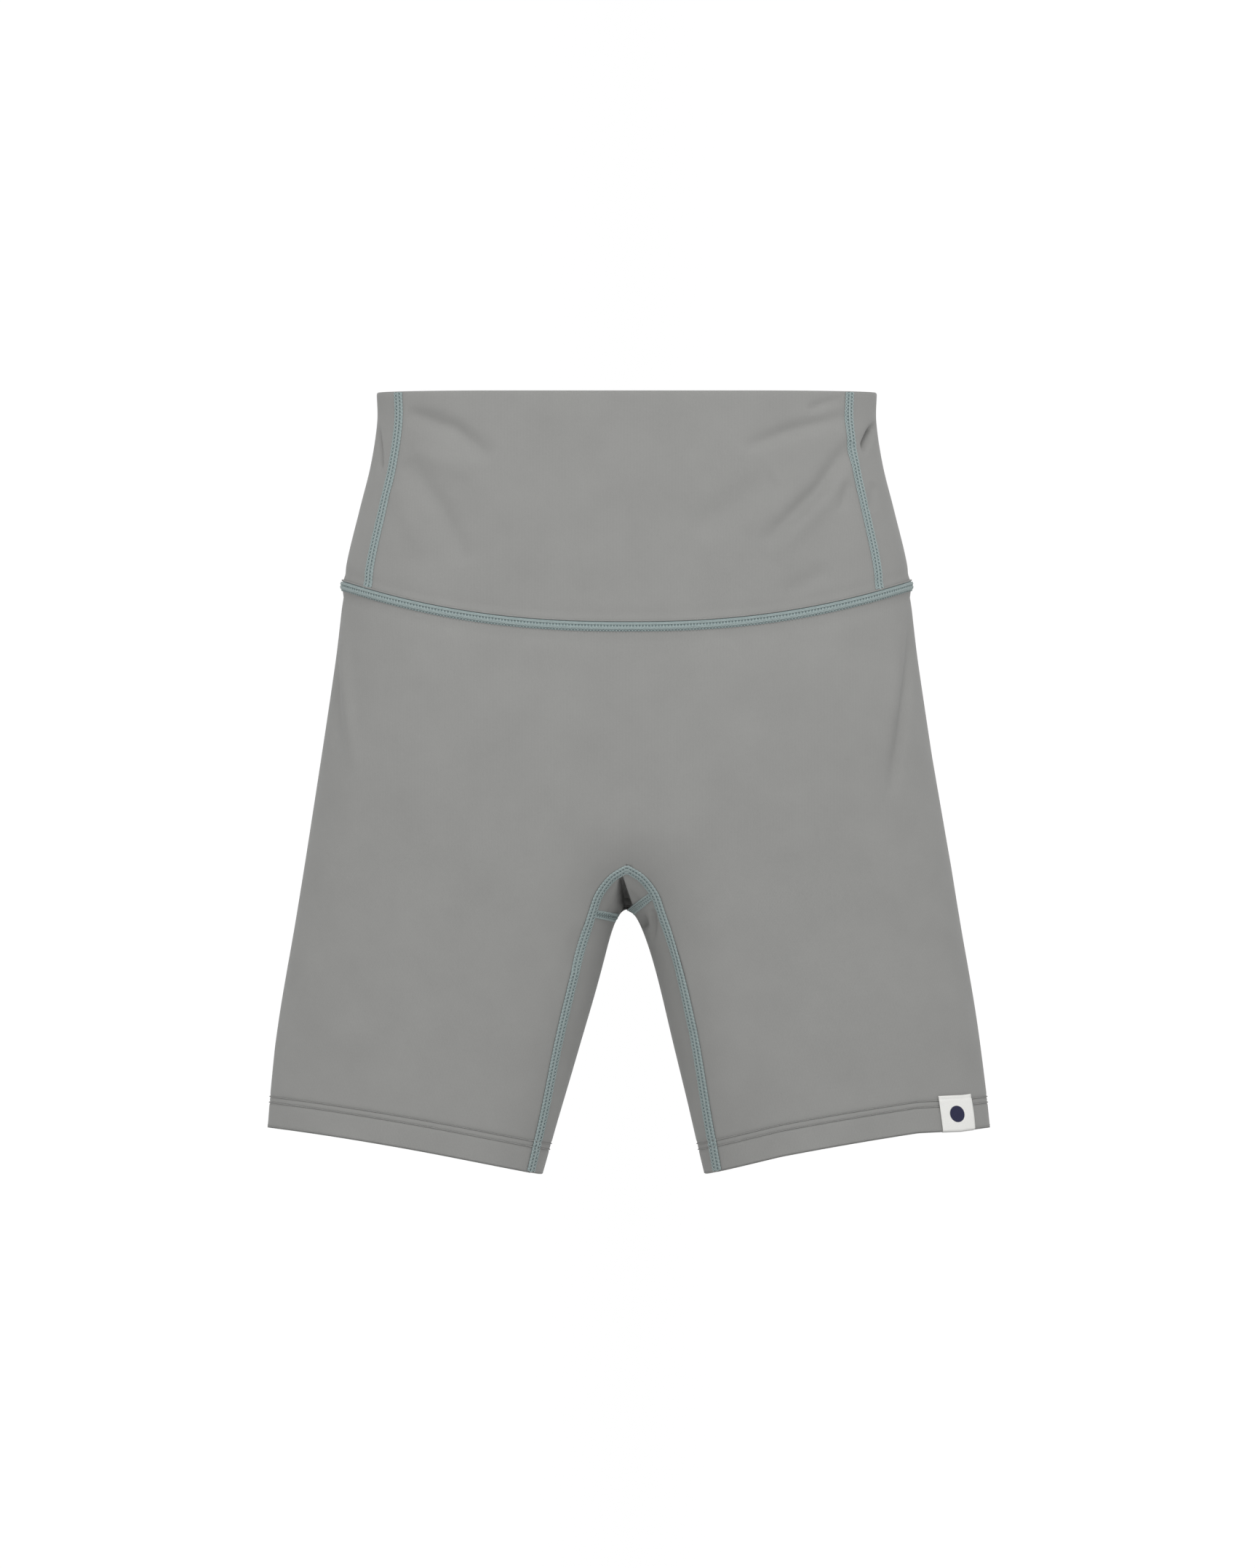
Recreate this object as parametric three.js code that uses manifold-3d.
// High-waist sports shorts: a two-layer waistband, a one-piece body panel, a crotch gusset,
// inner-leg panels, flatlock seams, stitched hems and two sewn-in labels.
//
// Millimetres, +Z up. The front faces -Y and +X is the wearer's left. The origin is the
// centre of the waist opening, level with the top edge of the waistband.
//
// The shorts are a soft shell. Every point of it has an x, a drop below the top edge, and
// a side: the front layer or the back layer. onShell() turns those into a place in space.
import * as THREE from 'three';
import { mergeVertices } from 'three/addons/utils/BufferGeometryUtils.js';
import Module from 'manifold-3d';

const wasm = await Module();
wasm.setup();

// Cloth and thread
const CLOTH = 0.9;
const LINING = 0.6;
const SEAM_GAP = 0.5;
const THREAD_LIFT = 0.8;
const THREAD = 0.7;
const FLATLOCK_WIDTH = 5.6;
const WAIST_SEAM_WIDTH = 7;
const HEM_ROWS_WIDTH = 4;

// Lengths down from the top edge of the waistband
const WAIST_SIDE_DROP = 106;
const WAIST_DIP_FRONT = 23;
const WAIST_DIP_BACK = 16;
const WAIST_DIP_POWER = 2.3;
const GUSSET_TOP_DROP = 263;
const CROTCH_DROP = 284.4;
const HEM_SIDE_DROP = 404;
const HEM_DIP = 26;
const HEM_DIP_POWER = 1.25;
const HEM_STITCH_RISE = 15.4;

// Half of the width across both legs, at each drop
const halfWidth = smooth([
  [0, 137.5], [16, 137.2], [40, 140.8], [64, 146.8], [96, 154.4], [120, 156.8],
  [150, 160.4], [240, 174], [290, 182], [340, 190.6], [380, 196], [404, 198.6], [431, 201],
]);

// Depth of the front and the back layer from the middle plane, at each drop
const frontDepth = smooth([[0, 38], [110, 41], [200, 46], [290, 42], [431, 35]]);
const backDepth = smooth([[0, 42], [110, 47], [190, 60], [262, 58], [335, 45], [431, 37]]);
const SIDE_ROUNDING = 72;
const CROTCH_ROUNDING = 52;

// The gap between the legs: a round arch that runs into two straight sides
const LEG_SLANT = 0.264;
const ARCH_HALF_WIDTH = 6.2;
const ARCH_REACH = 8.5;

// Seams
const LEFT_BAND_SEAM = THREE.MathUtils.degToRad(62.5);
const RIGHT_BAND_SEAM = THREE.MathUtils.degToRad(-65.5);
const BAND_SEAM_SPREAD = 0.085;
const BAND_EDGE = 0.012;
const INSEAM_SHARE = 0.045;
const ROWS_ABOVE_GUSSET = 0.44;
const CROSS_SEAM_BELOW = 4.4;
const CROSS_SEAM_INSET = 3.4;
const CROSS_SEAM_GAP = 0.005;
const INSEAM_START = 0.02;
const HEM_CLEARANCE = 0.13;

// Layers inside the cloth
const LINING_DEPTH = CLOTH + 1.9;
const LINING_MARGIN = 2;
const GUSSET_LINING_DEPTH = CLOTH + 0.6;
const GUSSET_REACH = 0.95;
const GUSSET_LINING_REACH = 0.86;

// Labels and elastic
const HEM_LABEL = { left: 172, right: 190, length: 19.5, thickness: 0.4, overhang: 1.2, gap: 0.6 };
const CARE_LABEL = { width: 24, length: 40, thickness: 0.5, inside: 5 };
const ELASTIC = { top: 2, height: 8, thickness: 0.6, gap: 0.4 };

// ---- Curves ---------------------------------------------------------------------------

// A smooth curve through [position, value] stations.
function smooth(stations) {
  const last = stations.length - 1;
  const slope = (i) => {
    const before = stations[Math.max(i - 1, 0)];
    const after = stations[Math.min(i + 1, last)];
    return (after[1] - before[1]) / (after[0] - before[0]);
  };
  return (position) => {
    let i = 0;
    while (i < last - 1 && position > stations[i + 1][0]) i += 1;
    const [start, from] = stations[i];
    const [end, to] = stations[i + 1];
    const span = end - start;
    const t = THREE.MathUtils.clamp((position - start) / span, 0, 1);
    const ease = t * t * (3 - 2 * t);
    const lead = t * (1 - t) * (1 - t) * span * slope(i);
    const trail = t * t * (1 - t) * span * slope(i + 1);
    return from + (to - from) * ease + lead - trail;
  };
}

const mix = THREE.MathUtils.lerp;
const archShare = (below) => Math.sqrt(1 - Math.exp(-below / ARCH_REACH));
const legGap = (below) => LEG_SLANT * below + ARCH_HALF_WIDTH * archShare(below);

// How fast the gap widens. At the very top of the arch, where it is level, the slope is
// held at that of a place just below.
function legGapSlope(below) {
  const at = Math.max(below, 0.01);
  const steepness = Math.exp(-at / ARCH_REACH) / (2 * ARCH_REACH * archShare(at));
  return LEG_SLANT + ARCH_HALF_WIDTH * steepness;
}

// The shortest way, in the middle plane, from a point to the gap between the legs.
function distanceToLegGap(x, drop) {
  const below = drop - CROTCH_DROP;
  const pull = (at) => (legGap(at) - x) * legGapSlope(at) + at - below;
  let near = 0;
  let far = 400;
  for (let i = 0; pull(0) < 0 && i < 40; i += 1) {
    const middle = (near + far) / 2;
    if (pull(middle) < 0) near = middle;
    else far = middle;
  }
  return Math.hypot(x - legGap(near), below - near);
}

// 0 at an edge, rising as a quarter circle to 1.
function quarterRound(t) {
  const inside = 1 - THREE.MathUtils.clamp(t, 0, 1);
  return Math.sqrt(1 - inside * inside);
}

const FRONT = -1;
const BACK = 1;

function onShell(x, drop, side) {
  const depth = side === FRONT ? frontDepth(drop) : backDepth(drop);
  const fromSide = quarterRound((halfWidth(drop) - Math.abs(x)) / SIDE_ROUNDING);
  const fromGap = quarterRound(distanceToLegGap(Math.abs(x), drop) / CROTCH_ROUNDING);
  return new THREE.Vector3(x, side * depth * fromSide * fromGap, -drop);
}

// Drop of the waist seam, by the share of the half width: 0 in the middle, 1 at the side.
function waistSeamDrop(share, side) {
  const dip = side === FRONT ? WAIST_DIP_FRONT : WAIST_DIP_BACK;
  return WAIST_SIDE_DROP + dip * (1 - Math.abs(share) ** WAIST_DIP_POWER);
}

// The hem of the left leg, by the share of the leg's width: 0 at the inside, 1 outside.
function hemPlace(share, rise = 0) {
  const drop = HEM_SIDE_DROP + HEM_DIP * Math.abs(1 - share) ** HEM_DIP_POWER - rise;
  return { x: mix(legGap(drop - CROTCH_DROP), halfWidth(drop), share), drop };
}

// The seam round the front of the gusset and down the inner leg, as x and -drop. The back
// has the same one.
const hemEnd = hemPlace(INSEAM_SHARE);
const inseam = new THREE.CatmullRomCurve3([
  new THREE.Vector3(0, 0, -GUSSET_TOP_DROP),
  new THREE.Vector3(8.2, 0, -266.8),
  new THREE.Vector3(15, 0, -275.5),
  new THREE.Vector3(18.6, 0, -285),
  new THREE.Vector3(28, 0, -315),
  new THREE.Vector3(37, 0, -354),
  new THREE.Vector3(45, 0, -398),
  new THREE.Vector3(hemEnd.x, 0, -hemEnd.drop),
]);
const inseamLengths = inseam.getLengths(70);
const GUSSET_SHARE = inseamLengths[30] / inseamLengths[70];

// A place beside the inseam: offset is outwards, away from the gusset.
function besideInseam(share, offset = 0) {
  const point = inseam.getPointAt(THREE.MathUtils.clamp(share, 0, 1));
  const way = inseam.getTangentAt(THREE.MathUtils.clamp(share, 0, 1));
  return { x: point.x - way.z * offset, drop: -point.z - way.x * offset };
}

// ---- Building blocks ------------------------------------------------------------------

// A copy with positions only, so that its faces share their vertices.
function bare(geometry) {
  const copy = geometry.clone();
  copy.deleteAttribute('normal');
  copy.deleteAttribute('uv');
  return mergeVertices(copy);
}

// The outward direction of a surface whose u runs to the right and v runs down.
function outward(surface, u, v) {
  const step = 1e-4;
  const right = surface(u + step, v).sub(surface(u - step, v));
  const up = surface(u, v - step).sub(surface(u, v + step));
  return right.cross(up).normalize();
}

// A sheet of cloth between two offsets from a surface, for u and v from 0 to 1.
function sheet(columns, rows, surface, inner, outer) {
  const geometry = bare(new THREE.BoxGeometry(1, 1, 1, columns, rows, 1));
  const position = geometry.attributes.position;
  for (let i = 0; i < position.count; i += 1) {
    const u = position.getX(i) + 0.5;
    const v = 0.5 - position.getY(i);
    const lift = mix(inner, outer, position.getZ(i) + 0.5);
    const point = surface(u, v).addScaledVector(outward(surface, u, v), lift);
    position.setXYZ(i, point.x, point.y, point.z);
  }
  return geometry;
}

// A closed ring, diamond-shaped in section, between two offsets from a surface. The
// surface takes a turn from 0 to 1 and a distance across the ring in millimetres.
function ring(steps, surface, width, inner, outer) {
  const middle = 2;
  const geometry = bare(new THREE.TorusGeometry(middle, 1, 4, steps));
  const position = geometry.attributes.position;
  for (let i = 0; i < position.count; i += 1) {
    const turn = Math.atan2(position.getY(i), position.getX(i)) / (2 * Math.PI);
    const radius = Math.hypot(position.getX(i), position.getY(i));
    const across = (radius - middle) * (width / 2);
    const lift = mix(inner, outer, (1 + position.getZ(i)) / 2);
    const point = surface(turn, across).addScaledVector(outward(surface, turn, across), lift);
    position.setXYZ(i, point.x, point.y, point.z);
  }
  return geometry;
}

// A strip of stitching along a path of { x, drop } places on one side of the shell.
function stitchedStrip(steps, path, side, width) {
  const surface = (u, v) => {
    const step = 1e-3;
    const at = path(u);
    const ahead = path(u + step);
    const behind = path(u - step);
    const way = new THREE.Vector2(ahead.x - behind.x, ahead.drop - behind.drop).normalize();
    const across = side * (v - 0.5) * width;
    return onShell(at.x + way.y * across, at.drop - way.x * across, side);
  };
  return sheet(steps, 2, surface, THREAD_LIFT, THREAD_LIFT + THREAD);
}

// The same shape on the other side of the body.
function mirrored(geometry) {
  const copy = geometry.clone().scale(-1, 1, 1);
  const index = copy.index;
  for (let i = 0; i < index.count; i += 3) {
    const first = index.getX(i);
    index.setX(i, index.getX(i + 2));
    index.setX(i + 2, first);
  }
  return copy;
}

function toSolid(geometry) {
  return new wasm.Manifold(new wasm.Mesh({
    numProp: 3,
    vertProperties: new Float32Array(geometry.attributes.position.array),
    triVerts: new Uint32Array(geometry.index.array),
  }));
}

function joined(first, second) {
  const { vertProperties, triVerts } = toSolid(first).add(toSolid(second)).getMesh();
  const geometry = new THREE.BufferGeometry();
  geometry.setAttribute('position', new THREE.BufferAttribute(vertProperties, 3));
  geometry.setIndex(new THREE.BufferAttribute(triVerts, 1));
  return geometry;
}

// ---- Waistband ------------------------------------------------------------------------

// A place on the waistband, by the angle round the body (0 at the centre front) and drop.
function onBand(angle, drop) {
  const side = Math.cos(angle) >= 0 ? FRONT : BACK;
  return onShell(halfWidth(drop) * Math.sin(angle), drop, side);
}

function bandSeamDrop(angle) {
  return waistSeamDrop(Math.sin(angle), Math.cos(angle) >= 0 ? FRONT : BACK);
}

function bandPanel(columns, from, to, margin, inner, outer) {
  const surface = (u, v) => {
    const angle = mix(from, to, u);
    return onBand(angle, mix(margin, bandSeamDrop(angle) - margin, v));
  };
  return sheet(columns, 4, surface, inner, outer);
}

const FULL_TURN = 2 * Math.PI;
const bandFront = [RIGHT_BAND_SEAM + BAND_EDGE, LEFT_BAND_SEAM - BAND_EDGE];
const bandBack = [LEFT_BAND_SEAM + BAND_EDGE, FULL_TURN + RIGHT_BAND_SEAM - BAND_EDGE];

const elasticRing = ring(
  56,
  (turn, across) => onBand(FULL_TURN * turn, ELASTIC.top + ELASTIC.height / 2 + across),
  ELASTIC.height,
  -CLOTH - ELASTIC.gap - ELASTIC.thickness,
  -CLOTH - ELASTIC.gap,
);

// ---- Body panel -----------------------------------------------------------------------

// One half of the body panel: u runs from the front edge round the hip to the back edge,
// and v from the waist seam down to the hem.
function onBody(u, row) {
  const v = rowPlace(row);
  const side = u < 0.5 ? FRONT : BACK;
  const share = Math.sin(Math.PI * (side === FRONT ? u : 1 - u));
  const edge = bodyEdge(v, side);
  const sideDrop = mix(WAIST_SIDE_DROP + SEAM_GAP, HEM_SIDE_DROP, v);
  const dip = side === FRONT ? WAIST_DIP_FRONT : WAIST_DIP_BACK;
  const waistBow = dip * (share - Math.abs(share) ** WAIST_DIP_POWER);
  const hem = hemPlace(mix(INSEAM_SHARE, 1, share));
  const hemOuter = hemPlace(1);
  const hemBow = {
    x: hem.x - mix(hemEnd.x, hemOuter.x, share),
    drop: hem.drop - mix(hemEnd.drop, hemOuter.drop, share),
  };
  const x = mix(edge.x, halfWidth(sideDrop), share) + v * hemBow.x;
  const drop = mix(edge.drop, sideDrop, share) + (1 - v) * waistBow + v * hemBow.drop;
  return onShell(x, drop, side);
}

// Rows lie closer together beside the arch of the gusset: a quarter of them is there.
const ARCH_ROWS = { first: 0.35, last: 0.6 };

function rowPlace(row) {
  const archEnd = mix(ROWS_ABOVE_GUSSET, 1, GUSSET_SHARE);
  const { first, last } = ARCH_ROWS;
  if (row < first) return mix(0, ROWS_ABOVE_GUSSET, row / first);
  if (row < last) return mix(ROWS_ABOVE_GUSSET, archEnd, (row - first) / (last - first));
  return mix(archEnd, 1, (row - last) / (1 - last));
}

// Where a row of the body panel starts: on the centre line above the gusset, and on the
// inseam below it. The front runs just past the centre line, so that both halves join.
const PAST_CENTRE = -0.1;

function bodyEdge(v, side) {
  const centre = side === FRONT ? PAST_CENTRE : SEAM_GAP;
  if (v < ROWS_ABOVE_GUSSET) {
    const top = waistSeamDrop(0, side) + SEAM_GAP;
    return { x: centre, drop: mix(top, GUSSET_TOP_DROP - SEAM_GAP, v / ROWS_ABOVE_GUSSET) };
  }
  const share = (v - ROWS_ABOVE_GUSSET) / (1 - ROWS_ABOVE_GUSSET);
  const place = besideInseam(share, SEAM_GAP);
  return { x: Math.max(place.x, centre), drop: place.drop };
}

const bodyHalf = sheet(28, 20, onBody, -CLOTH, 0);

// ---- Gusset and inner legs ------------------------------------------------------------

// v runs from the front seam, through the crotch, to the back seam. The places between the
// fold at the crotch and the seam open as the square of the way, so the fold is round.
function acrossFold(fold, seam, way) {
  const share = way * way;
  const side = way < 0 ? FRONT : BACK;
  return onShell(mix(fold.x, seam.x, share), mix(fold.drop, seam.drop, share), side);
}

// The fold's drop grows as the square of the lean, which keeps the top of the arch round.
function onGusset(u, v, reach) {
  const lean = (2 * u - 1) * reach;
  const below = CROSS_SEAM_BELOW * lean * lean;
  const hand = Math.sign(lean);
  const seam = besideInseam(GUSSET_SHARE * Math.abs(lean));
  const fold = { x: hand * legGap(below), drop: CROTCH_DROP + below };
  const way = (2 * v - 1) * Math.sqrt(reach);
  return acrossFold(fold, { x: hand * seam.x, drop: seam.drop }, way);
}

function onInnerLeg(u, v) {
  const inner = hemPlace(0).drop - CROTCH_DROP;
  const below = mix(CROSS_SEAM_BELOW + SEAM_GAP, inner, v);
  const fold = { x: legGap(below), drop: CROTCH_DROP + below };
  const seam = besideInseam(mix(GUSSET_SHARE + CROSS_SEAM_GAP, 1, v), -SEAM_GAP);
  return acrossFold(fold, seam, 1 - 2 * u);
}

// The short seam from the fold at the crotch to the corner of the gusset.
function onCrossSeam(u, v) {
  const along = (v - 0.5) * FLATLOCK_WIDTH;
  const below = CROSS_SEAM_BELOW + along;
  const fold = { x: legGap(Math.max(below, 0)), drop: CROTCH_DROP + Math.max(below, 0) };
  const seam = besideInseam(GUSSET_SHARE + along / inseamLengths[70], -CROSS_SEAM_INSET);
  return acrossFold(fold, seam, 1 - 2 * u);
}

// ---- Stitching ------------------------------------------------------------------------

const THREAD_TOP = THREAD_LIFT + THREAD;

const waistSeamRing = ring(72, (turn, across) => {
  const angle = FULL_TURN * turn;
  return onBand(angle, bandSeamDrop(angle) + across);
}, WAIST_SEAM_WIDTH, THREAD_LIFT, THREAD_TOP);

const hemRing = ring(48, (turn, across) => {
  const angle = FULL_TURN * turn;
  const place = hemPlace((1 - Math.cos(angle)) / 2, HEM_STITCH_RISE - across);
  return onShell(place.x, place.drop, Math.sin(angle) >= 0 ? FRONT : BACK);
}, HEM_ROWS_WIDTH, THREAD_LIFT, THREAD_TOP);

const bandSeam = (seamAngle) => sheet(2, 8, (u, v) => {
  const angle = seamAngle + (u - 0.5) * BAND_SEAM_SPREAD;
  return onBand(angle, mix(1, bandSeamDrop(angle) - WAIST_SEAM_WIDTH / 2 - SEAM_GAP, v));
}, THREAD_LIFT, THREAD_TOP);

const inseamPath = (u) => besideInseam(mix(INSEAM_START, 1 - HEM_CLEARANCE, u));
const inseamStrip = (side) => stitchedStrip(34, inseamPath, side, FLATLOCK_WIDTH);

const centreBackPath = (u) => {
  const top = waistSeamDrop(0, BACK) + WAIST_SEAM_WIDTH / 2 + SEAM_GAP;
  return { x: 0, drop: mix(top, GUSSET_TOP_DROP - FLATLOCK_WIDTH, u) };
};

// ---- Labels ---------------------------------------------------------------------------

// A woven strip folded over the hem: v runs down the outside, round the edge and up
// inside. The outer leaf lies over the rows of stitches.
const LABEL_FOLD = 1.4;

function onHemLabel(u, v) {
  const x = mix(HEM_LABEL.left, HEM_LABEL.right, u);
  const rise = HEM_LABEL.length * Math.abs(1 - 2 * v);
  const legInside = legGap(HEM_SIDE_DROP - CROTCH_DROP);
  const share = (x - legInside) / (halfWidth(HEM_SIDE_DROP) - legInside);
  const hem = hemPlace(share).drop + HEM_LABEL.overhang;
  const surface = (across, fall) => onShell(x + across, hem - rise + fall, FRONT);
  const normal = outward(surface, 0, 0);
  const round = Math.sin((Math.PI / 2) * Math.min(rise / LABEL_FOLD, 1));
  const outside = HEM_LABEL.gap + THREAD_TOP * (rise / HEM_LABEL.length);
  const inside = -CLOTH - HEM_LABEL.gap - HEM_LABEL.thickness;
  const lift = v < 0.5 ? outside : inside;
  return surface(0, 0).addScaledVector(normal, mix(-CLOTH / 2, lift, round));
}

const hemLabel = sheet(4, 20, onHemLabel, 0, HEM_LABEL.thickness);

const careLabelTop = waistSeamDrop(0, BACK) + 1;
const careLabel = new THREE.BoxGeometry(CARE_LABEL.width, CARE_LABEL.thickness, CARE_LABEL.length);
careLabel.translate(0, 0, -CARE_LABEL.length / 2);

// ---- Materials and assembly -----------------------------------------------------------

function finish(color, roughness) {
  return new THREE.MeshStandardMaterial({ color, roughness, metalness: 0 });
}

const knit = () => finish('#949492', 0.85);
const liningKnit = () => finish('#8a8a88', 0.9);
const thread = () => finish('#a3b3b2', 0.7);

const shorts = new THREE.Group();

function add(name, geometry, material) {
  const mesh = new THREE.Mesh(bare(geometry), material);
  mesh.name = name;
  shorts.add(mesh);
  return mesh;
}

function addPair(name, geometry, material) {
  add(`left_${name}`, geometry, material());
  add(`right_${name}`, mirrored(geometry), material());
}

add('front_waistband', bandPanel(20, ...bandFront, SEAM_GAP, -CLOTH, 0), knit());
add('back_waistband', bandPanel(40, ...bandBack, SEAM_GAP, -CLOTH, 0), knit());
const liningLayer = [LINING_MARGIN, -LINING_DEPTH - LINING, -LINING_DEPTH];
add('front_waistband_lining', bandPanel(20, ...bandFront, ...liningLayer), liningKnit());
add('back_waistband_lining', bandPanel(40, ...bandBack, ...liningLayer), liningKnit());
add('waist_elastic', elasticRing, finish('#dcdcd8', 0.4));

add('body_panel', joined(bodyHalf, mirrored(bodyHalf)), knit());
const gusset = (u, v) => onGusset(u, v, GUSSET_REACH);
const gussetInside = (u, v) => onGusset(u, v, GUSSET_LINING_REACH);
add('gusset', sheet(12, 12, gusset, -CLOTH, 0), knit());
add('gusset_lining',
  sheet(8, 10, gussetInside, -GUSSET_LINING_DEPTH - LINING, -GUSSET_LINING_DEPTH), liningKnit());
addPair('inner_leg_panel', sheet(10, 14, onInnerLeg, -CLOTH, 0), knit);

add('waist_seam_stitching', waistSeamRing, thread());
add('left_waistband_seam_stitching', bandSeam(LEFT_BAND_SEAM), thread());
add('right_waistband_seam_stitching', bandSeam(RIGHT_BAND_SEAM), thread());
addPair('front_inseam_stitching', inseamStrip(FRONT), thread);
addPair('back_inseam_stitching', inseamStrip(BACK), thread);
const crossSeam = sheet(8, 2, onCrossSeam, THREAD_LIFT, THREAD_TOP);
addPair('gusset_cross_seam_stitching', crossSeam, thread);
add('centre_back_seam_stitching',
  stitchedStrip(12, centreBackPath, BACK, FLATLOCK_WIDTH), thread());
addPair('hem_stitching', hemRing, () => finish('#8d8d8b', 0.8));

add('hem_label', hemLabel, finish('#f1f1ef', 0.6));
const hangingLabel = add('care_label', careLabel, finish('#f4f4f2', 0.5));
hangingLabel.position.set(0, backDepth(careLabelTop) - CARE_LABEL.inside, -careLabelTop);

export default shorts;
